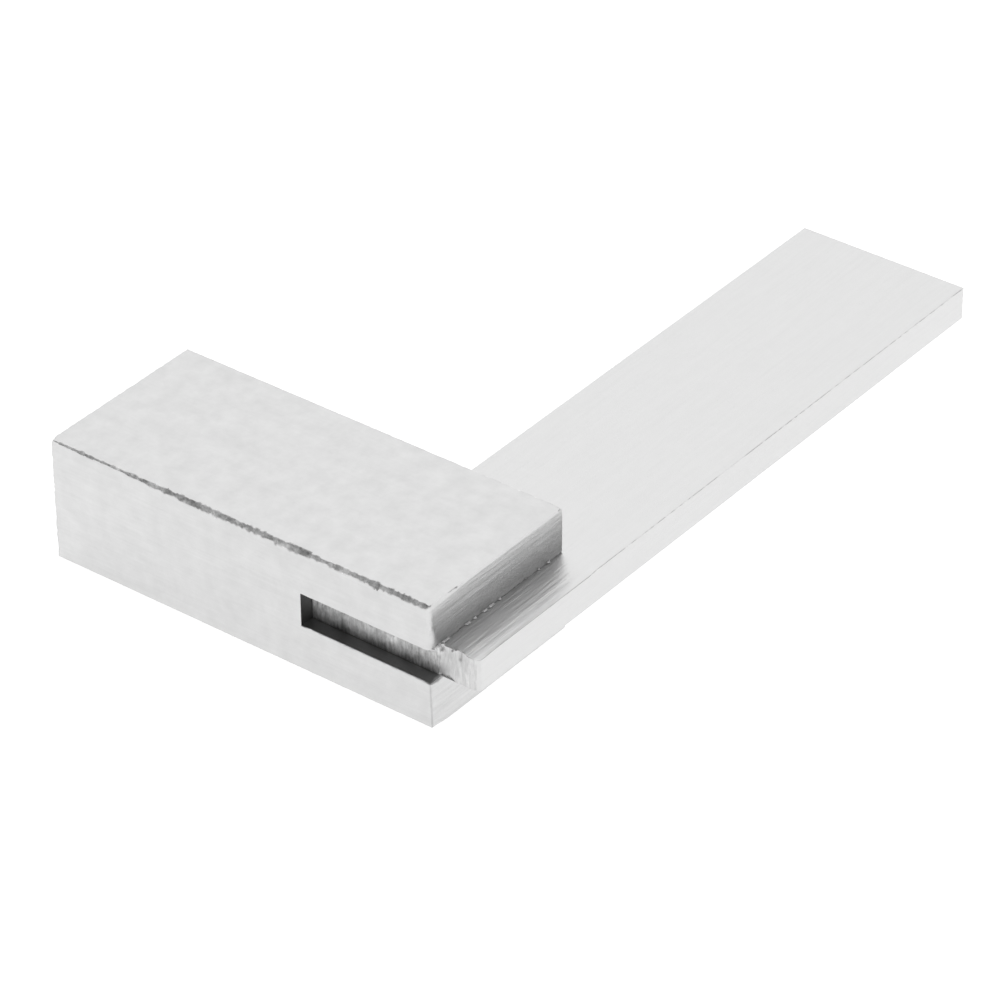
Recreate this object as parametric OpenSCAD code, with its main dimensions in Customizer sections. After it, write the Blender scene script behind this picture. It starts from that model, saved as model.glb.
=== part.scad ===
// Steel try square: a thick stock with a wide flat blade let into a slot in one end of it.
// The blade is pressed into the slot and held by blind dowel pins, driven from below and
// ground flush with the underside.
//
// Frame: +X runs along the blade to its tip, +Y along the stock away from the blade, +Z up.
// The origin lies on the blade's outer edge, level with the stock's inner face, halfway
// through the thickness. Lengths along the blade are measured from there. Millimetres.

/* [Stock] */
// Length of the stock, along Y
stock_l = 45.7; // [40:0.1:80]
// Width of the stock between its outer and inner faces, along X
stock_w = 20; // [16:0.5:30]
// Thickness of the stock, along Z
stock_t = 13.5; // [11:0.5:18]
// Chamfer that breaks the stock's outer edges
stock_break = 0.3; // [0.1:0.05:0.8]

/* [Blade] */
// Length of the blade, along X
blade_l = 80; // [60:1:160]
// Width of the blade, along Y
blade_w = 19.5; // [17:0.5:26]
// Thickness of the blade, along Z
blade_t = 3.6; // [2.4:0.1:5]
// Distance that the blade's outer edge stands past the end of the stock
overhang = 4.3; // [2:0.1:5]
// Distance that the blade's buried end stays back from the stock's outer face
recess = 1.6; // [0.5:0.1:3]
// Chamfer that breaks the blade's edges
blade_break = 0.12; // [0.05:0.01:0.3]

/* [Pins] */
// Diameter of the dowel pins
pin_d = 2.5; // [1.5:0.1:3]
// Depth that a pin reaches into the upper jaw
pin_bite = 2.2; // [1:0.1:2.5]
// Least distance from a pin's centre to the edges of the joint
pin_margin = 3.8; // [3:0.1:4]
// Chamfer on a pin's leading end
pin_lead = 0.4; // [0.1:0.05:0.6]
// Hairline chamfer round a pin's flush end
pin_ring = 0.06; // [0.02:0.01:0.15]

/* [Hidden] */
$fn = 96;

// Cutters reach this far past a face that they break through
past = 1;
// Clear depth between a pin's tip and the end of its bore
bore_clear = 0.2;
// Height of a 118 degree drill point over its radius
drill_point = 1 / tan(59);

stock_x0 = -stock_w;
stock_z0 = -stock_t / 2;
slot_l = blade_w - overhang;
blade_x0 = stock_x0 + recess;
pin_r = pin_d / 2;
pin_top = blade_t / 2 + pin_bite;

// The joint is where the blade and both jaws overlap. Two pins stand near its outer end, at
// either side, and one near the stock's inner face, on the middle line.
joint_y0 = overhang;
joint_y1 = blade_w;
pin_near_x = blade_x0 + pin_margin;
pin_far_x = -pin_margin;
pin_outer_at = [pin_near_x, joint_y0 + pin_margin];
pin_middle_at = [pin_near_x, joint_y1 - pin_margin];
pin_inner_at = [pin_far_x, (joint_y0 + joint_y1) / 2];
pins_at = [pin_outer_at, pin_middle_at, pin_inner_at];

// A w by h rectangle, from the origin, with its four corners cut off at 45 degrees
module broken_rectangle(w, h, c) {
    polygon([
        [c, 0], [w - c, 0], [w, c], [w, h - c],
        [w - c, h], [c, h], [0, h - c], [0, c]
    ]);
}

// A block from the origin, with a chamfer of c along all twelve edges
module broken_block(size, c) {
    intersection() {
        linear_extrude(size[2])
            broken_rectangle(size[0], size[1], c);
        translate([0, size[1], 0])
            rotate([90, 0, 0])
                linear_extrude(size[1])
                    broken_rectangle(size[0], size[2], c);
        rotate([90, 0, 90])
            linear_extrude(size[0])
                broken_rectangle(size[1], size[2], c);
    }
}

// One blind bore: through the lower jaw and the blade, ending in a drill point in the upper jaw
module pin_bore(at) {
    depth_top = pin_top + bore_clear;
    translate([at[0], at[1], stock_z0 - past])
        cylinder(r = pin_r, h = depth_top - stock_z0 + past);
    translate([at[0], at[1], depth_top])
        cylinder(r1 = pin_r, r2 = 0, h = pin_r * drill_point);
}

// One dowel pin, flush with the underside, chamfered at its leading end
module pin(at) {
    color("lightsteelblue")
        translate([at[0], at[1], 0])
            rotate_extrude()
                polygon([
                    [0, stock_z0],
                    [pin_r - pin_ring, stock_z0],
                    [pin_r, stock_z0 + pin_ring],
                    [pin_r, pin_top - pin_lead],
                    [pin_r - pin_lead, pin_top],
                    [0, pin_top]
                ]);
}

// The stock: a block with a slot through one end, which leaves an upper and a lower jaw
module stock() {
    color("gainsboro")
        difference() {
            translate([stock_x0, overhang, stock_z0])
                broken_block([stock_w, stock_l, stock_t], stock_break);
            translate([stock_x0 - past, overhang - past, -blade_t / 2])
                cube([stock_w + 2 * past, slot_l + past, blade_t]);
            for (at = pins_at)
                pin_bore(at);
        }
}

// The blade: a flat bar whose buried end stays back inside the slot
module blade() {
    color("whitesmoke")
        difference() {
            translate([blade_x0, 0, -blade_t / 2])
                broken_block([blade_l, blade_w, blade_t], blade_break);
            for (at = pins_at)
                pin_bore(at);
        }
}

stock();
blade();
pin(pin_outer_at);  // pin_outer
pin(pin_middle_at);  // pin_middle
pin(pin_inner_at);  // pin_inner
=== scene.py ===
# A small steel try square on a pale studio floor.
#
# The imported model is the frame. The stock and the blade are built again here as finer
# meshes with hand-broken edges, in the same places, and the dowel pins keep their CAD
# shapes. Shapes are worked out in millimetres and stored in metres.

import math

import bpy
import numpy as np
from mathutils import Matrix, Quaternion, Vector


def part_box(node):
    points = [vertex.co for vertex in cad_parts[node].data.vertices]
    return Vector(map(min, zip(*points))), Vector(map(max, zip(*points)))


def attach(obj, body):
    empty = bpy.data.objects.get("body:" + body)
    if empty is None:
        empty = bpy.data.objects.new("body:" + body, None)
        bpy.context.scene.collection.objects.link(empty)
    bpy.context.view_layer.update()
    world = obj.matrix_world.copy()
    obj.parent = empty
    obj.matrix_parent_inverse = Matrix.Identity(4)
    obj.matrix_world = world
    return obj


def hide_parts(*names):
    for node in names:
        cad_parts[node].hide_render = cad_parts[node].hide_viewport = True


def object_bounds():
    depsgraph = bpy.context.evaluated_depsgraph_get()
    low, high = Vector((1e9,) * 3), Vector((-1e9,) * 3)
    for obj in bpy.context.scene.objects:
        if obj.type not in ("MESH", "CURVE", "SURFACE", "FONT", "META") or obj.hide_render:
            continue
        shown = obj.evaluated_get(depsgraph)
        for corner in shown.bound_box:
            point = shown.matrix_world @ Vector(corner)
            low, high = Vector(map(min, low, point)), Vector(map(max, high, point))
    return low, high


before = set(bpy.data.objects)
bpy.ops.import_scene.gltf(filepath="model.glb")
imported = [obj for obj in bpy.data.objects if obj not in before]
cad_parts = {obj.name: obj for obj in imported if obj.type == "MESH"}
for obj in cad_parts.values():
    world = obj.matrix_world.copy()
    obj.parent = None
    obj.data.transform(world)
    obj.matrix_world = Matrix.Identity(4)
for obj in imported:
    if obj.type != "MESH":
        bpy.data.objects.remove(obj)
cad_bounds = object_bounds()

MM = 0.001
X, Y, Z = 0, 1, 2

# Distances from an edge at which the mesh has a line, so that it can bend there
NEAR_EDGE = (0.05, 0.1, 0.16, 0.24, 0.34, 0.48, 0.7)
# Spacing of the mesh lines along the edges
ALONG_EDGE = 0.15
# A point this close to a side counts as lying on it
TOUCH = 1e-6
# A face that leans this much from its side's direction belongs to the broken edge
EDGE_LEAN = math.cos(math.radians(12))
# Edges sharper than this are shaded as sharp
SHARP = math.radians(50)
# The drilled bores are this much wider than the pins, run this far past their tips, and have this
# many flats
BORE_CLEAR = 0.01
BORE_PAST = 0.2
BORE_FLATS = 64
PINS = ("pin_outer", "pin_middle", "pin_inner")

# Random unevenness is a sum of layers, each (spacing, height), with this many heights to a layer
KNOTS = 1024
FILED_WIDTH_LAYERS = ((3.1, 0.2), (0.9, 0.15), (0.31, 0.65))
FILED_LEAN_LAYERS = ((0.8, 0.35), (0.25, 0.65))
SCRATCH_BEND_LAYERS = ((5.0, 0.1), (1.7, 0.03))
SCRATCH_DEPTH_LAYERS = ((0.5, 0.35), (0.21, 0.65))
SCRATCH_FADE_LAYERS = ((2.3, 0.3),)
RUBBED_LAYERS = ((0.7, 0.1), (0.25, 0.1))
SPECK_LAYERS = ((2.4, 0.5), (0.31, 0.9))
CHEW_LAYERS = ((1.9, 0.5), (0.35, 0.6))
RIDGE_LAYERS = ((0.7, 0.4), (0.32, 0.6))
TEAR_LAYERS = ((1.3, 0.3), (0.42, 0.6), (0.2, 0.4))
TEAR_LENGTH_LAYERS = ((0.9, 0.5), (0.35, 0.4))

# How rounded the borders of a broken edge are, from 0 for a flat chamfer
FLAT = 0.15
FLATTISH = 0.3
ROUND = 0.8
ROUNDEST = 1.0
# The stock's top outer edge is filed this wide. Down the side and across the top it is so many
# times that width, and loses these parts of it before the far corner and at the corner
TOP_EDGE = 0.33
DOWN_THE_SIDE = (1.2, 0.6, 0.25)
ACROSS_THE_TOP = (0.9, 0.3, 0.45)
# The first loss comes in between these distances from the far corner, and the second within this
BEFORE_CORNER = (14, 9)
AT_CORNER = 2
# The edge over the upper jaw's end is rubbed this wide on the end and on the top, at least and at
# most, and most over this distance from its outer corner
RUBBED_ON_END = (0.4, 1.1)
RUBBED_ON_TOP = (0.02, 0.1)
RUBBED_REACH = 7
# The upper jaw's outer corner is dressed this wide, and bulges by so much more on its two sides,
# at this height above the slot and within this reach
DRESSED = 0.3
BULGES = (0.3, 0.2)
BULGE_RISE = 1.3
BULGE_REACH = 1.6
# The lower jaw's outer corner is crisp
CRISP = 0.1
# The blade's outer corner is broken this far in from its end and from its outer edge
BLADE_CORNER = (0.3, 0.6)
# The burr along the slot's lower lip: its height, its width, and how far from either end of the slot
# it is full
SLOT_BURR = 0.1
SLOT_BURR_WIDTH = 0.4
SLOT_BURR_START = 1
# The lower jaw's end bulges this far at its foot, and by this part of that at its outer corner. The
# bulge starts this far under the slot, is full this far along the end from that corner, and is gone
# this far back from the end
JAW_BULGE = 0.34
CORNER_BULGE = 0.4
JAW_BULGE_START = 0.5
JAW_BULGE_ALONG = 2.5
JAW_BULGE_BACK = 2
# Marks on the upper jaw's end: how far specks of burr stand out and up, how deep the edge beside
# them is chewed, and the heights over which that fades
BURR = 0.22
BURR_HEIGHT = 0.11
CHEW = 0.05
CHEW_FADE = (0.1, 0.6)
# A mark starts where its noise is over the first value, and is full over the second
SPECKS_OVER = (0.3, 0.6)
CHEWED_OVER = (0.1, 0.6)
TORN_OVER = (0.0, 0.5)
LIP_OVER = (0.0, 0.4)
# Marks on the blade's buried end: upright ridges, torn grooves that run this far down and farther
# inside the slot, the part of their length over which they fade, the burr between them, and the
# gap along the end's foot
RIDGE_HEIGHT = 0.012
TEAR = 0.3
TEAR_LENGTH = 0.9
TEAR_LONGER = 1.1
TEAR_FADE = (0.45, 1)
LIP = 0.14
LIP_WIDTH = 0.3
GAP_HEIGHT = 0.2
GAP_REACH = 0.17
GAP_DEPTH = 0.2
# They come in over these distances from the blade's outer edge
TEARS_IN = (1.2, 2.4)
LIP_IN = (1.2, 2.0)
# Into the slot from the stock's end: where the tears lengthen, the burr goes, and the gap comes
# and goes
TEARS_LENGTHEN = (0.3, 1.3)
LIP_OUT = (-0.3, 0)
GAP_IN = (-2.0, -0.7)
GAP_OUT = (0.1, 0.3)
# The blade's ledge falls this far at its outer edge, and by this part more near its buried end.
# The fall starts this far back, and farther near both ends
CROWN = 0.12
END_FALL = 0.6
BROW = 2.3
WIDER_BROW = 0.5
# Distances from the stock's inner face: the fall and the scratches come in, and the brow narrows
FALL_IN = (0, 1.9)
SCRATCHES_IN = (0.3, 2)
BROW_NARROWS = (3, 8)
# Distances from the buried end: the scratches come in, and the extra fall and brow fade
END_SCRATCHES_IN = (0, 1)
END_FALL_FADES = (0.4, 3.4)
END_BROW_NARROWS = (1.4, 6.4)
# Distance from the ledge's outer edge over which the scratches deepen
SCRATCHES_DEEPEN = (-0.4, 3.4)
# The depth of the scratches on the ledge, and on the upper jaw's end as a part of that. Along each
# scratch it comes and goes about this part of its depth
SCRATCH = 0.034
END_SCRATCH = 0.7
SCRATCH_MEAN = 0.7

# How much light each steel surface reflects
STOCK_TONE = 0.7
FILED_TONE = 0.7
BROKEN_TONE = 0.62
# The slot's two tones are set far darker than the rest of the steel: painted shade inside the slot, darkest
# at its closed end.
SLOT_TONE = 0.33
SLOT_END_TONE = 0.24
BLADE_TONE = 0.745
MILLED_TONE = 0.6
DRESSED_TONE = 0.68
PIN_TONE = 0.66
# Marks to a millimetre, across and along them, on ground, milled and filed surfaces
GROUND = (2.6, 0.12)
MILLED = (3.0, 0.7)
FILED = (2.4, 1.6)
# Patches to a millimetre, and how much the roughness varies with them
MOTTLE = 0.45
ROUGH_RANGE = 0.08
# Painted shade darkens the slot between these distances along the stock, growing towards its closed end
SLOT_SHADE_RAMP = (5.0, 16.0)
# Turns the tangent from along the marks to across them, as a part of a full turn
QUARTER_TURN = 0.25

# The camera, a long lens: where it stands, as seen from the square, and its roll
VIEW_AZIMUTH = 217.77
VIEW_ELEVATION = 34.25
VIEW_ROLL = -0.41
LENS = 180.3
SENSOR = 36
DISTANCE = 0.4918
# Where it aims, from the middle of the object
AIM_FROM_MIDDLE = Vector((-5.8, -1.75, -8.3)) * MM

# The dome's light, and its bright patches. Each has its azimuth and elevation, its soft border as
# cosines of the angle from its middle, and the light that it adds
DOME_LIGHT = 0.15
BACK_WALL = (40, 38, (0.5, 0.88), 1.195)
FRONT_GLOW = (220, 25, (0.5, 0.9), 0.4)
CEILING = (0, 90, (0.82, 0.94), 0.6)
# The floor
FLOOR_GLOW = 0.9
FLOOR_TONE = 0.38
FLOOR_SIZE = 12.0
FLOOR_GAP = 0.02 * MM


# Meshes

def grid_lines(stops, step=ALONG_EDGE):
    """Coordinates from the first stop to the last: close together beside each stop, even between."""
    lines = [stops[0]]
    for low, high in zip(stops, stops[1:]):
        near = [d for d in NEAR_EDGE if d < (high - low) / 3]
        count = max(1, round((high - low - 2 * near[-1]) / step))
        lines += [low + d for d in near]
        lines += list(np.linspace(low + near[-1], high - near[-1], count + 1)[1:])
        lines += [high - d for d in reversed(near[:-1])]
        lines.append(high)
    return np.array(lines)


class Shell:
    """The surface of a solid made of boxes between stops, as a fine mesh.

    stops holds the stops on each axis, and solid says which boxes between them are filled. Each
    box side that faces the open is one panel: a border of small faces round one large face, or
    small faces all over where dense(box, axis, way) says so."""

    def __init__(self, stops, solid, dense):
        self.stops = stops
        self.lines = [grid_lines(s) for s in stops]
        self.solid = solid
        self.dense = dense
        self.index = {}
        self.faces = []
        self.sides = []
        for box in np.argwhere(solid):
            for axis in (X, Y, Z):
                for way in (-1, 1):
                    self.add_side(tuple(int(i) for i in box), axis, way)
        grid = np.array(list(self.index))
        self.start = np.stack([self.lines[a][grid[:, a]] for a in (X, Y, Z)], axis=1)
        self.shift = np.zeros_like(self.start)

    def add_side(self, box, axis, way):
        beyond = list(box)
        beyond[axis] += way
        if 0 <= beyond[axis] < self.solid.shape[axis] and self.solid[tuple(beyond)]:
            return
        u_axis, v_axis = (axis + 1) % 3, (axis + 2) % 3
        level = self.line_number(axis, box[axis] + (way > 0))
        u = range(self.line_number(u_axis, box[u_axis]), self.line_number(u_axis, box[u_axis] + 1) + 1)
        v = range(self.line_number(v_axis, box[v_axis]), self.line_number(v_axis, box[v_axis] + 1) + 1)
        loops = self.panel(u, v, self.dense(box, axis, way))
        for loop in loops:
            corners = []
            for i, j in loop:
                place = [0, 0, 0]
                place[axis], place[u_axis], place[v_axis] = level, i, j
                corners.append(self.index.setdefault(tuple(place), len(self.index)))
            self.faces.append(corners if way > 0 else corners[::-1])
            self.sides.append((axis, way, box[axis] + (way > 0)))

    def line_number(self, axis, stop):
        return int(np.argmin(np.abs(self.lines[axis] - self.stops[axis][stop])))

    @staticmethod
    def panel(u, v, dense):
        """The faces of one panel, as loops of grid places."""
        rim = len(NEAR_EDGE)
        inner_u = (u[rim], u[-1 - rim]) if len(u) > 2 * rim + 2 else None
        inner_v = (v[rim], v[-1 - rim]) if len(v) > 2 * rim + 2 else None
        one_face = not dense and inner_u and inner_v
        loops = []
        for i in u[:-1]:
            for j in v[:-1]:
                if one_face and inner_u[0] <= i < inner_u[1] and inner_v[0] <= j < inner_v[1]:
                    continue
                loops.append([(i, j), (i + 1, j), (i + 1, j + 1), (i, j + 1)])
        if one_face:
            (u0, u1), (v0, v1) = inner_u, inner_v
            loop = [(i, v0) for i in range(u0, u1)] + [(u1, j) for j in range(v0, v1)]
            loop += [(i, v1) for i in range(u1, u0, -1)] + [(u0, j) for j in range(v1, v0, -1)]
            loops.append(loop)
        return loops

    def break_edge(self, side_a, side_b, cuts, soft=0.5, span=None):
        """Slopes the surface away where two sides meet.

        A side is (axis, place, inward). cuts are how far in from side a and from side b the slope
        reaches, as functions of the place along the edge. soft rounds the slope's borders, and
        span limits it to a stretch of the edge."""
        along = 3 - side_a[0] - side_b[0]
        place = self.start[:, along]
        cuts = [np.broadcast_to(cut(place), place.shape) for cut in cuts]
        depths = [(self.start[:, axis] - at) * inward for axis, at, inward in (side_a, side_b)]
        slope = rounded_positive(1 - depths[0] / cuts[0] - depths[1] / cuts[1], soft)
        slope[(depths[0] < -TOUCH) | (depths[1] < -TOUCH)] = 0
        if span:
            slope[(place < span[0] - TOUCH) | (place > span[1] + TOUCH)] = 0
        for (axis, _, inward), cut in zip((side_a, side_b), cuts):
            push = inward * cut * slope / 2
            farther = np.abs(push) > np.abs(self.shift[:, axis])
            self.shift[farther, axis] = push[farther]

    def on_side(self, side):
        """Which points lie on a side."""
        axis, place, _ = side
        return np.abs(self.start[:, axis] - place) < TOUCH

    def to_object(self, name, materials, material_of):
        """The finished object. material_of(side, lean, middle) names each face's material: side is
        (axis, way, stop), lean is the axis that the face leans towards if it is part of a broken
        edge, and middle is its middle in millimetres."""
        mesh = bpy.data.meshes.new(name)
        mesh.from_pydata((self.start + self.shift) * MM, [], self.faces)
        for material in materials.values():
            mesh.materials.append(material)
        order = list(materials)
        for face, side in zip(mesh.polygons, self.sides):
            axis, way, _ = side
            lean = None
            if face.normal[axis] * way < EDGE_LEAN:
                lean = max({X, Y, Z} - {axis}, key=lambda other: abs(face.normal[other]))
            middle = face.center / MM
            face.material_index = order.index(material_of(side, lean, middle))
        mesh.shade_smooth()
        made = bpy.data.objects.new(name, mesh)
        bpy.context.scene.collection.objects.link(made)
        return made


def rounded_positive(value, soft):
    """value where it is positive, else 0, with the corner between the two rounded off."""
    bend = np.clip(1 - np.abs(value) / soft, 0, None)
    return np.maximum(value, 0) + soft / 4 * bend * bend


def wander(seed, layers):
    """A smooth random function of a place. Each layer is (spacing, height)."""
    random = np.random.default_rng(seed)
    knots = [(spacing, height * random.uniform(-1, 1, KNOTS)) for spacing, height in layers]

    def value(place):
        total = np.zeros(len(place))
        for spacing, heights in knots:
            step = place / spacing + KNOTS // 2
            low = np.floor(step).astype(int)
            part = step - low
            part = part * part * (3 - 2 * part)
            total += heights[low] * (1 - part) + heights[low + 1] * part
        return total

    return value


def filed(width, seed, uneven=0.4, lean=0.12, least=0.03):
    """The two widths of a slope filed by hand: uneven along the edge, and leaning either way."""
    size = wander(seed, FILED_WIDTH_LAYERS)
    tip = wander(seed + 1000, FILED_LEAN_LAYERS)

    def cut(way):
        return lambda place: np.maximum(
            width * (1 + uneven * size(place)) * (1 + way * lean * tip(place)), least
        )

    return cut(1), cut(-1)


def even(width):
    """A width that is the same all along the edge."""
    return lambda place: np.full(len(place), width)


def widened(cuts, at, extra, reach):
    """The widths of a slope, wider by extra at one place along the edge, fading over a reach."""
    return [
        lambda place, cut=cut: cut(place) + extra * (1 - ramp(np.abs(place - at), 0, reach))
        for cut in cuts
    ]


def scratches(seed, across, along):
    """The height, about 0, of long scratches: from their places across and along them."""
    bend = wander(seed, SCRATCH_BEND_LAYERS)(along)
    depth = wander(seed + 1, SCRATCH_DEPTH_LAYERS)(across + bend)
    return depth * (SCRATCH_MEAN + wander(seed + 2, SCRATCH_FADE_LAYERS)(along))


def ramp(value, start, end):
    """0 before start, 1 after end, smooth between."""
    part = np.clip((value - start) / (end - start), 0, 1)
    return part * part * (3 - 2 * part)


def box_mm(node):
    """The low and high corners of a CAD piece's box, in millimetres."""
    low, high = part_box(node)
    return np.array(low) / MM, np.array(high) / MM


def box_sides(low, high):
    """A box's sides as (axis, place, inward): low X, high X, low Y, high Y, low Z, high Z."""
    return [(axis, at[axis], inward) for axis in (X, Y, Z) for at, inward in ((low, 1), (high, -1))]


def bore(piece):
    """Drills the pins' blind bores into a piece."""
    for name in PINS:
        low, high = box_mm(name)
        radius = (high[X] - low[X]) / 2
        bpy.ops.mesh.primitive_cylinder_add(
            vertices=BORE_FLATS,
            radius=(radius + BORE_CLEAR) * MM,
            depth=(high[Z] - low[Z] + 2 * BORE_PAST) * MM,
            location=Vector((low + high) / 2) * MM,
        )
        cutter = bpy.context.object
        cut = piece.modifiers.new("bore", "BOOLEAN")
        cut.operation = "DIFFERENCE"
        cut.solver = "EXACT"
        cut.object = cutter
        mesh = bpy.data.meshes.new_from_object(
            piece.evaluated_get(bpy.context.evaluated_depsgraph_get())
        )
        piece.modifiers.clear()
        piece.data = mesh
        mesh.set_sharp_from_angle(angle=SHARP)
        bpy.data.objects.remove(cutter)


# The two main pieces

def faded(cut, far, times, lost_before, lost_at):
    """A width of the filed top edge: it narrows before the far corner, and again at it."""
    def width(place):
        before = lost_before * ramp(place, far - BEFORE_CORNER[0], far - BEFORE_CORNER[1])
        at = lost_at * ramp(place, far - AT_CORNER, far)
        return times * cut(place) * (1 - before - at)

    return width


def rubbed(outer, least, most):
    """A width of the edge over the upper jaw's end: rubbed most towards the outer corner."""
    bumpy = wander(17, RUBBED_LAYERS)
    return lambda place: (
        (least + (most - least) * (1 - ramp(place, outer, outer + RUBBED_REACH))) * (1 + bumpy(place))
    )


def dressed(slot_roof, extra):
    """A width of the outer corner: dressed by hand above the slot, with a bulge, and crisp below."""
    def width(place):
        bulge = 1 - ramp(np.abs(place - slot_roof - BULGE_RISE), 0, BULGE_REACH)
        return np.where(place > 0, DRESSED + extra * bulge, CRISP)

    return width


def break_stock_edges(shell, low, high):
    """The outer edges, each filed or rubbed in its own way, and more so towards some corners."""
    outer, inner, end, far, under, top = box_sides(low, high)
    slot_roof = box_mm("blade")[1][Z]
    down, across = filed(TOP_EDGE, seed=11, uneven=0.6, lean=0.35)
    top_edge = [faded(down, high[Y], *DOWN_THE_SIDE), faded(across, high[Y], *ACROSS_THE_TOP)]
    shell.break_edge(top, outer, top_edge, FLATTISH)
    shell.break_edge(top, inner, widened(filed(width=0.1, seed=13), at=low[Y], extra=0.15, reach=0.8), ROUND)
    shell.break_edge(top, far, widened(filed(0.16, seed=15), at=low[X], extra=0.25, reach=0.9), ROUND)
    for seed, side in enumerate((outer, inner, far, end), 20):
        shell.break_edge(under, side, filed(width=0.06, seed=seed))
    shell.break_edge(inner, end, widened(filed(0.05, seed=41), at=high[Z], extra=0.12, reach=0.8), ROUND)
    shell.break_edge(outer, far, widened(filed(0.2, seed=43), at=high[Z], extra=0.2, reach=0.8), ROUND)
    shell.break_edge(inner, far, filed(0.16, seed=45), ROUND)
    over_end = [rubbed(low[X], *RUBBED_ON_END), rubbed(low[X], *RUBBED_ON_TOP)]
    shell.break_edge(top, end, widened(over_end, at=high[X], extra=0.1, reach=0.7), FLAT)
    shell.break_edge(outer, end, [dressed(slot_roof, extra) for extra in BULGES], ROUNDEST)


def break_slot_mouth(shell, low, high):
    """The slot's mouth is left nearly sharp, apart from a chip in the lower jaw's end."""
    outer, inner, end = box_sides(low, high)[:3]
    slot_low, slot_high = box_mm("blade")
    slot_end = (Y, slot_high[Y], 1)
    slot_floor, slot_roof = (Z, slot_low[Z], -1), (Z, slot_high[Z], 1)
    for seed, side in enumerate((outer, inner), 50):
        for lip, width in ((slot_floor, 0.06), (slot_roof, 0.05)):
            cuts = widened(filed(width, seed), at=low[Y], extra=0.08, reach=0.9)
            shell.break_edge(side, lip, cuts, span=(low[Y], slot_high[Y]))
        shell.break_edge(side, slot_end, filed(0.05, seed=52), span=(slot_low[Z], slot_high[Z]))
    shell.break_edge(end, slot_roof, filed(0.05, seed=55, uneven=1.0))
    chipped = widened(filed(0.07, seed=57, uneven=1.0), at=low[X] + 1.2, extra=0.28, reach=1.4)
    shell.break_edge(end, slot_floor, chipped)


def mark_lower_jaw(shell, low):
    """A burr stands along the slot's lower lip, and the jaw's end bulges towards its foot."""
    slot_low, slot_high = box_mm("blade")
    x, y, z = shell.start.T
    burr = 1 - ramp(x - low[X], 0, SLOT_BURR_WIDTH)
    burr *= ramp(y - low[Y], 0, SLOT_BURR_START) * ramp(slot_high[Y] - y, 0, SLOT_BURR_START)
    on_floor = shell.on_side((Z, slot_low[Z], -1))
    shell.shift[on_floor, Z] += (SLOT_BURR * burr)[on_floor]
    bulge = ramp(slot_low[Z] - z, JAW_BULGE_START, slot_low[Z] - low[Z])
    bulge *= CORNER_BULGE + (1 - CORNER_BULGE) * ramp(x - low[X], 0, JAW_BULGE_ALONG)
    shell.shift[:, Y] -= JAW_BULGE * bulge * (1 - ramp(y - low[Y], 0, JAW_BULGE_BACK))


def mark_upper_jaw(shell, low):
    """The jaw's lower edge is chewed, with specks of burr, and its end is scratched lengthwise."""
    x, _, z = shell.start.T
    rise = z - box_mm("blade")[1][Z]
    at_end = shell.on_side((Y, low[Y], 1))
    on_jaw = (rise > -TOUCH) * at_end
    specks = ramp(wander(80, SPECK_LAYERS)(x), *SPECKS_OVER) * on_jaw * (rise < BURR_HEIGHT)
    shell.shift[:, Y] -= BURR * specks
    chewed = ramp(wander(83, CHEW_LAYERS)(x), *CHEWED_OVER) * (1 - ramp(rise, *CHEW_FADE))
    shell.shift[:, Y] += CHEW * chewed * on_jaw * (specks == 0)
    shell.shift[at_end, Y] += END_SCRATCH * SCRATCH * scratches(84, z, x)[at_end]


def build_stock(materials):
    low, high = box_mm("stock")
    slot_low, slot_high = box_mm("blade")
    stops = [
        (low[X], high[X]),
        (low[Y], slot_high[Y], high[Y]),
        (low[Z], slot_low[Z], slot_high[Z], high[Z]),
    ]
    solid = np.ones((1, 2, 3), bool)
    solid[0, 0, 1] = False
    shell = Shell(stops, solid, lambda box, axis, way: (axis, way) == (Y, -1))
    break_stock_edges(shell, low, high)
    break_slot_mouth(shell, low, high)
    mark_lower_jaw(shell, low)
    mark_upper_jaw(shell, low)

    def material_of(side, lean, middle):
        if side == (Y, -1, 1):
            return "slot_end"
        if side in ((Z, 1, 1), (Z, -1, 2)):
            return "slot"
        if {side[0], lean} == {X, Z} and middle.z > slot_high[Z]:
            return "filed"
        if lean is not None and middle.z < slot_low[Z]:
            return "broken"
        return {X: "long", Y: "cross", Z: "lapped"}[side[0]]

    piece = shell.to_object("ground_stock", materials, material_of)
    bore(piece)
    return piece


def break_blade_edges(shell, low, high):
    """The blade's edges are finely broken, most finely along its outer edge."""
    buried, tip, outer, inner, under, top = box_sides(low, high)
    for seed, side in enumerate((under, top)):
        shell.break_edge(side, tip, filed(0.06, 60 + seed))
        shell.break_edge(side, outer, filed(0.026, 62 + seed, least=0.016))
        shell.break_edge(side, inner, filed(0.06, 64 + seed))
        shell.break_edge(side, buried, filed(0.04, 66 + seed))
    shell.break_edge(tip, outer, filed(0.08, seed=70), ROUND)
    shell.break_edge(tip, inner, filed(0.08, seed=71), ROUND)
    shell.break_edge(buried, outer, [even(width) for width in BLADE_CORNER], ROUNDEST)
    shell.break_edge(buried, inner, filed(0.08, seed=73), ROUND)


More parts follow.
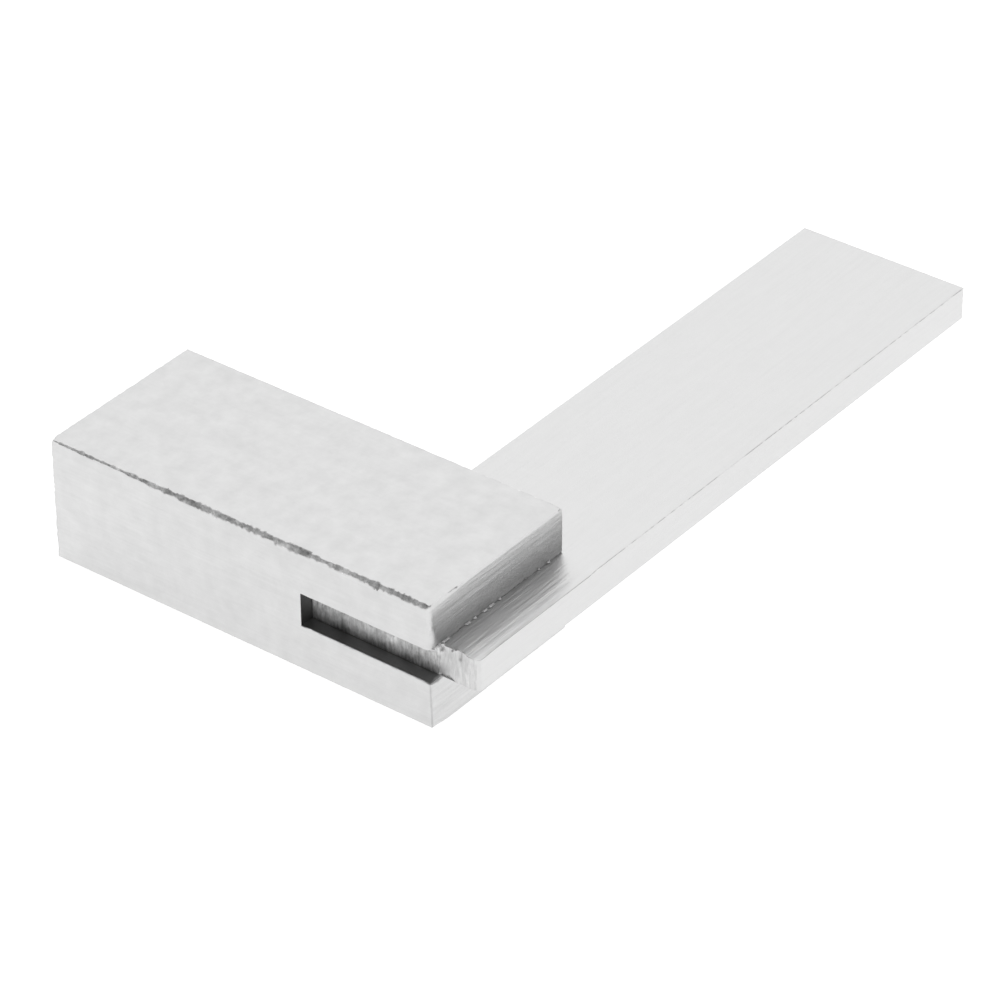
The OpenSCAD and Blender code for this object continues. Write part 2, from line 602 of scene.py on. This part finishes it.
def mark_buried_end(shell, low, high):
    """Milling leaves upright ridges across the end, and tears grooves down from its top."""
    x, y, z = shell.start.T
    depth = high[Z] - z
    from_edge, into_slot = y - low[Y], y - box_mm("stock")[0][Y]
    on_end = shell.on_side((X, low[X], 1))
    ridges = 1 + wander(90, RIDGE_LAYERS)(y)
    length = TEAR_LENGTH + TEAR_LONGER * ramp(into_slot, *TEARS_LENGTHEN)
    length += wander(92, TEAR_LENGTH_LAYERS)(y)
    tears = ramp(wander(91, TEAR_LAYERS)(y), *TORN_OVER) * ramp(from_edge, *TEARS_IN)
    tears *= 1 - ramp(depth / length, *TEAR_FADE)
    shell.shift[on_end, X] += (RIDGE_HEIGHT * ridges + TEAR * tears)[on_end]
    # Between the tears, a little burr stands up along the top edge.
    lip = ramp(-wander(91, TEAR_LAYERS[1:])(y), *LIP_OVER) * ramp(from_edge, *LIP_IN)
    lip *= (1 - ramp(into_slot, *LIP_OUT)) * (1 - ramp(x - low[X], 0, LIP_WIDTH)) * (depth < TOUCH)
    shell.shift[:, Z] += LIP * lip
    # A thin gap runs on from the slot's floor, along the foot of the end.
    gap = ramp(into_slot, *GAP_IN) * (1 - ramp(into_slot, *GAP_OUT))
    gap *= np.abs(z - low[Z] - GAP_HEIGHT * gap) < GAP_REACH * gap
    shell.shift[on_end, X] += (GAP_DEPTH * gap)[on_end]


def mark_ledge(shell, low, high):
    """The ledge is rubbed down a little towards its outer edge, and scratched lengthwise."""
    stock_low, stock_high = box_mm("stock")
    x, y, z = shell.start.T
    depth, from_edge = high[Z] - z, y - low[Y]
    from_face, from_end = stock_high[X] - x, x - low[X]
    brow = BROW + WIDER_BROW * (2 - ramp(from_face, *BROW_NARROWS) - ramp(from_end, *END_BROW_NARROWS))
    fall = np.clip(1 - from_edge / brow, 0, 1) ** 2 * ramp(from_face, *FALL_IN)
    fall *= 1 + END_FALL * (1 - ramp(from_end, *END_FALL_FADES))
    shell.shift[:, Z] -= CROWN * fall * np.clip(1 - depth / NEAR_EDGE[-1], 0, 1)
    on_ledge = shell.on_side((Z, high[Z], -1)) & (x < stock_high[X]) & (y < stock_low[Y])
    worn = ramp(from_face, *SCRATCHES_IN) * ramp(from_end, *END_SCRATCHES_IN)
    worn *= scratches(94, y, x) * ramp(from_edge, *SCRATCHES_DEEPEN)
    shell.shift[on_ledge, Z] += (SCRATCH * worn)[on_ledge]


def build_blade(materials):
    low, high = box_mm("blade")
    stock_low, stock_high = box_mm("stock")
    stops = [(low[X], stock_high[X], high[X]), (low[Y], stock_low[Y], high[Y]), (low[Z], high[Z])]

    # The buried end is dense all over, and so is the ledge: the top beyond the stock's end.
    def dense(box, axis, way):
        return (axis, way) == (X, -1) or (box[X], box[Y], axis, way) == (0, 0, Z, 1)

    shell = Shell(stops, np.ones((2, 2, 1), bool), dense)
    break_blade_edges(shell, low, high)
    mark_buried_end(shell, low, high)
    mark_ledge(shell, low, high)

    def material_of(side, lean, middle):
        if side[:2] == (X, -1):
            return "milled" if middle.y > stock_low[Y] else "dressed"
        return "fine" if lean is None else "filed"

    piece = shell.to_object("ground_blade", materials, material_of)
    bore(piece)
    return piece


# Materials

def add_node(tree, kind, inputs=None, **settings):
    """A node with its settings and inputs. An input is a value, or another node's output."""
    made = tree.nodes.new(kind)
    for key, value in settings.items():
        setattr(made, key, value)
    for key, value in (inputs or {}).items():
        if isinstance(value, bpy.types.NodeSocket):
            tree.links.new(value, made.inputs[key])
        else:
            made.inputs[key].default_value = value
    return made


def math_node(tree, operation, a, b=0.0):
    return add_node(tree, "ShaderNodeMath", {0: a, 1: b}, operation=operation).outputs[0]


def noise(tree, place, stretch, detail, rough):
    """Noise about 0, with its cells per millimetre along each axis in stretch."""
    scaled = add_node(tree, "ShaderNodeVectorMath", {0: place, 1: stretch}, operation="MULTIPLY")
    made = add_node(
        tree,
        "ShaderNodeTexNoise",
        {"Vector": scaled.outputs[0], "Scale": 1.0, "Detail": detail, "Roughness": rough},
    )
    return math_node(tree, "SUBTRACT", made.outputs[0], 0.5)


def steel(
    name, tone, grain, roughness=0.34, mottle=0.04, streak=0.03, height=2.0, spread=0.5,
    marks=GROUND, slot_shade=0.0,
):
    """Ground steel with marks along one axis.

    tone is how much light it reflects. mottle and streak are how much that varies in patches and
    from mark to mark, height is the marks' height in micrometres, and spread is how much more
    they blur what it mirrors across the marks than along them. marks is how many there are to a
    millimetre, across and along them, and the last argument is how much darker the colour is painted
    down the slot: painted shade, deeper towards the slot's closed end."""
    material = bpy.data.materials.new(name)
    material.use_nodes = True
    tree = material.node_tree
    tree.nodes.clear()
    place = add_node(tree, "ShaderNodeTexCoord").outputs["Object"]
    place = add_node(tree, "ShaderNodeVectorMath", {0: place, "Scale": 1 / MM}, operation="SCALE").outputs[0]

    def along_grain(across, along):
        return tuple(along if axis == grain else across for axis in (X, Y, Z))

    patches = noise(tree, place, (MOTTLE,) * 3, detail=6.0, rough=0.62)
    strokes = noise(tree, place, along_grain(*marks), detail=5.0, rough=0.7)
    by_patch = math_node(tree, "MULTIPLY", patches, 2 * mottle)
    by_mark = math_node(tree, "MULTIPLY", strokes, 2 * streak)
    factor = math_node(tree, "ADD", math_node(tree, "ADD", by_patch, by_mark), 1.0)
    # Painted shade: the colour is darkened further down the slot, towards its closed end.
    if slot_shade:
        depth = add_node(tree, "ShaderNodeSeparateXYZ", {0: place}).outputs["Y"]
        painted_shade = math_node(tree, "MULTIPLY", smooth_step(tree, depth, *SLOT_SHADE_RAMP), slot_shade)
        factor = math_node(tree, "MULTIPLY", factor, math_node(tree, "SUBTRACT", 1.0, painted_shade))
    colour = add_node(
        tree, "ShaderNodeVectorMath", {0: (tone,) * 3, "Scale": factor}, operation="SCALE"
    ).outputs[0]
    rough = math_node(tree, "ADD", math_node(tree, "MULTIPLY", patches, ROUGH_RANGE), roughness)

    bump = add_node(
        tree, "ShaderNodeBump", {"Height": strokes, "Distance": height * MM * MM, "Strength": 1.0}
    )
    direction = [0.0, 0.0, 0.0]
    direction[grain] = 1.0
    tangent = add_node(
        tree,
        "ShaderNodeVectorTransform",
        {0: direction},
        vector_type="VECTOR",
        convert_from="OBJECT",
        convert_to="WORLD",
    )
    surface = add_node(
        tree,
        "ShaderNodeBsdfPrincipled",
        {
            "Base Color": colour,
            "Metallic": 1.0,
            "Roughness": rough,
            "Anisotropic": spread,
            "Anisotropic Rotation": QUARTER_TURN,
            "Normal": bump.outputs[0],
            "Tangent": tangent.outputs[0],
        },
    )
    output = add_node(tree, "ShaderNodeOutputMaterial")
    tree.links.new(surface.outputs[0], output.inputs["Surface"])
    return material


# The studio

def direction_of(azimuth, elevation):
    """The direction that lies at an azimuth from +X towards +Y, and at an elevation."""
    a, e = math.radians(azimuth), math.radians(elevation)
    return Vector((math.cos(a) * math.cos(e), math.sin(a) * math.cos(e), math.sin(e)))


def smooth_step(tree, value, start, end):
    return add_node(
        tree,
        "ShaderNodeMapRange",
        {"Value": value, "From Min": start, "From Max": end},
        interpolation_type="SMOOTHSTEP",
    ).outputs[0]


def light_studio():
    """A soft dome: a wide bright wall behind the square, a bright ceiling, dimmer sides, and a
    glow from the camera's side, which lights the square's far sides."""
    world = bpy.data.worlds.new("studio")
    bpy.context.scene.world = world
    world.use_nodes = True
    tree = world.node_tree
    tree.nodes.clear()
    ray = add_node(tree, "ShaderNodeTexCoord").outputs["Generated"]
    light = DOME_LIGHT
    for azimuth, elevation, border, strength in (BACK_WALL, FRONT_GLOW, CEILING):
        middle = direction_of(azimuth, elevation)
        facing = add_node(tree, "ShaderNodeVectorMath", {0: ray, 1: middle}, operation="DOT_PRODUCT")
        inside = smooth_step(tree, facing.outputs["Value"], *border)
        light = math_node(tree, "ADD", math_node(tree, "MULTIPLY", inside, strength), light)
    shade = add_node(tree, "ShaderNodeBackground", {"Strength": light})
    output = add_node(tree, "ShaderNodeOutputWorld")
    tree.links.new(shade.outputs[0], output.inputs["Surface"])


def lay_floor():
    """A pale sheet, lit a little from below, so that shadows on it stay faint."""
    bpy.ops.mesh.primitive_plane_add(size=FLOOR_SIZE, location=(0, 0, cad_bounds[0].z - FLOOR_GAP))
    floor = bpy.context.object
    floor.name = "studio_floor"
    material = bpy.data.materials.new("pale_sheet")
    material.use_nodes = True
    tree = material.node_tree
    tree.nodes.clear()
    glow = add_node(tree, "ShaderNodeEmission", {"Strength": FLOOR_GLOW})
    paper = add_node(tree, "ShaderNodeBsdfDiffuse", {"Color": (FLOOR_TONE,) * 3 + (1.0,)})
    both = add_node(tree, "ShaderNodeAddShader", {0: glow.outputs[0], 1: paper.outputs[0]})
    output = add_node(tree, "ShaderNodeOutputMaterial")
    tree.links.new(both.outputs[0], output.inputs["Surface"])
    floor.data.materials.append(material)


def place_camera():
    low, high = cad_bounds
    aim = (low + high) / 2 + AIM_FROM_MIDDLE
    back = direction_of(VIEW_AZIMUTH, VIEW_ELEVATION)
    lens = bpy.data.cameras.new("camera")
    lens.lens, lens.sensor_width = LENS, SENSOR
    lens.clip_start, lens.clip_end = 0.01, 50.0
    camera = bpy.data.objects.new("camera", lens)
    bpy.context.scene.collection.objects.link(camera)
    camera.rotation_mode = "QUATERNION"
    level = (-back).to_track_quat("-Z", "Y")
    camera.rotation_quaternion = level @ Quaternion((0, 0, 1), math.radians(VIEW_ROLL))
    camera.location = aim + back * DISTANCE
    bpy.context.scene.camera = camera


stock = build_stock({
    "lapped": steel("stock_lapped", STOCK_TONE, Y, mottle=0.15, streak=0.03, spread=0.2),
    "long": steel("stock_ground_long", STOCK_TONE, Y, mottle=0.14, streak=0.08),
    "cross": steel("stock_ground_cross", STOCK_TONE, X, mottle=0.06, streak=0.22, height=60),
    "filed": steel(
        "stock_filed_edge", FILED_TONE, Y, roughness=0.55, mottle=1.3, streak=1.0, height=20, marks=FILED
    ),
    "broken": steel(
        "stock_broken_edge", BROKEN_TONE, Y, roughness=0.45, mottle=0.2, streak=0.1, height=5
    ),
    # The slot's dark tone is painted shade inside the slot.
    "slot": steel(
        "stock_milled_slot", SLOT_TONE, X, roughness=0.45, mottle=0.1, streak=0.1, height=5,
        # Painted shade, darker down the slot
        marks=MILLED, slot_shade=0.1,
    ),
    # Painted shade: the slot's closed end is set darker still.
    "slot_end": steel(
        "stock_slot_end", SLOT_END_TONE, X, roughness=0.45, mottle=0.1, streak=0.1, height=5,
        marks=MILLED,
    ),
})
blade = build_blade({
    "fine": steel("blade_fine_ground", BLADE_TONE, X, mottle=0.03, streak=0.04, height=60),
    "milled": steel(
        "blade_milled_end", MILLED_TONE, Z, roughness=0.55, mottle=1.2, streak=0.9, height=20,
        # Painted shade, darker down the slot on the end's buried part
        marks=MILLED, slot_shade=0.25,
    ),
    "dressed": steel(
        "blade_dressed_end", DRESSED_TONE, Z, roughness=0.5, mottle=0.3, streak=0.4, height=12,
        marks=MILLED,
    ),
    "filed": steel("blade_filed_edge", BLADE_TONE, X, roughness=0.4, mottle=0.1, streak=0.05),
})
for piece, node, slot in ((stock, "stock", "stock_steel"), (blade, "blade", "blade_steel")):
    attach(piece, "root")
    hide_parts(node)

pin_steel = steel("pin_ground_end", PIN_TONE, Y, mottle=0.08, streak=0.06)
for name in PINS:
    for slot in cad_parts[name].material_slots:
        slot.material = pin_steel

lay_floor()
light_studio()
place_camera()
bpy.context.scene.view_settings.view_transform = "Standard"
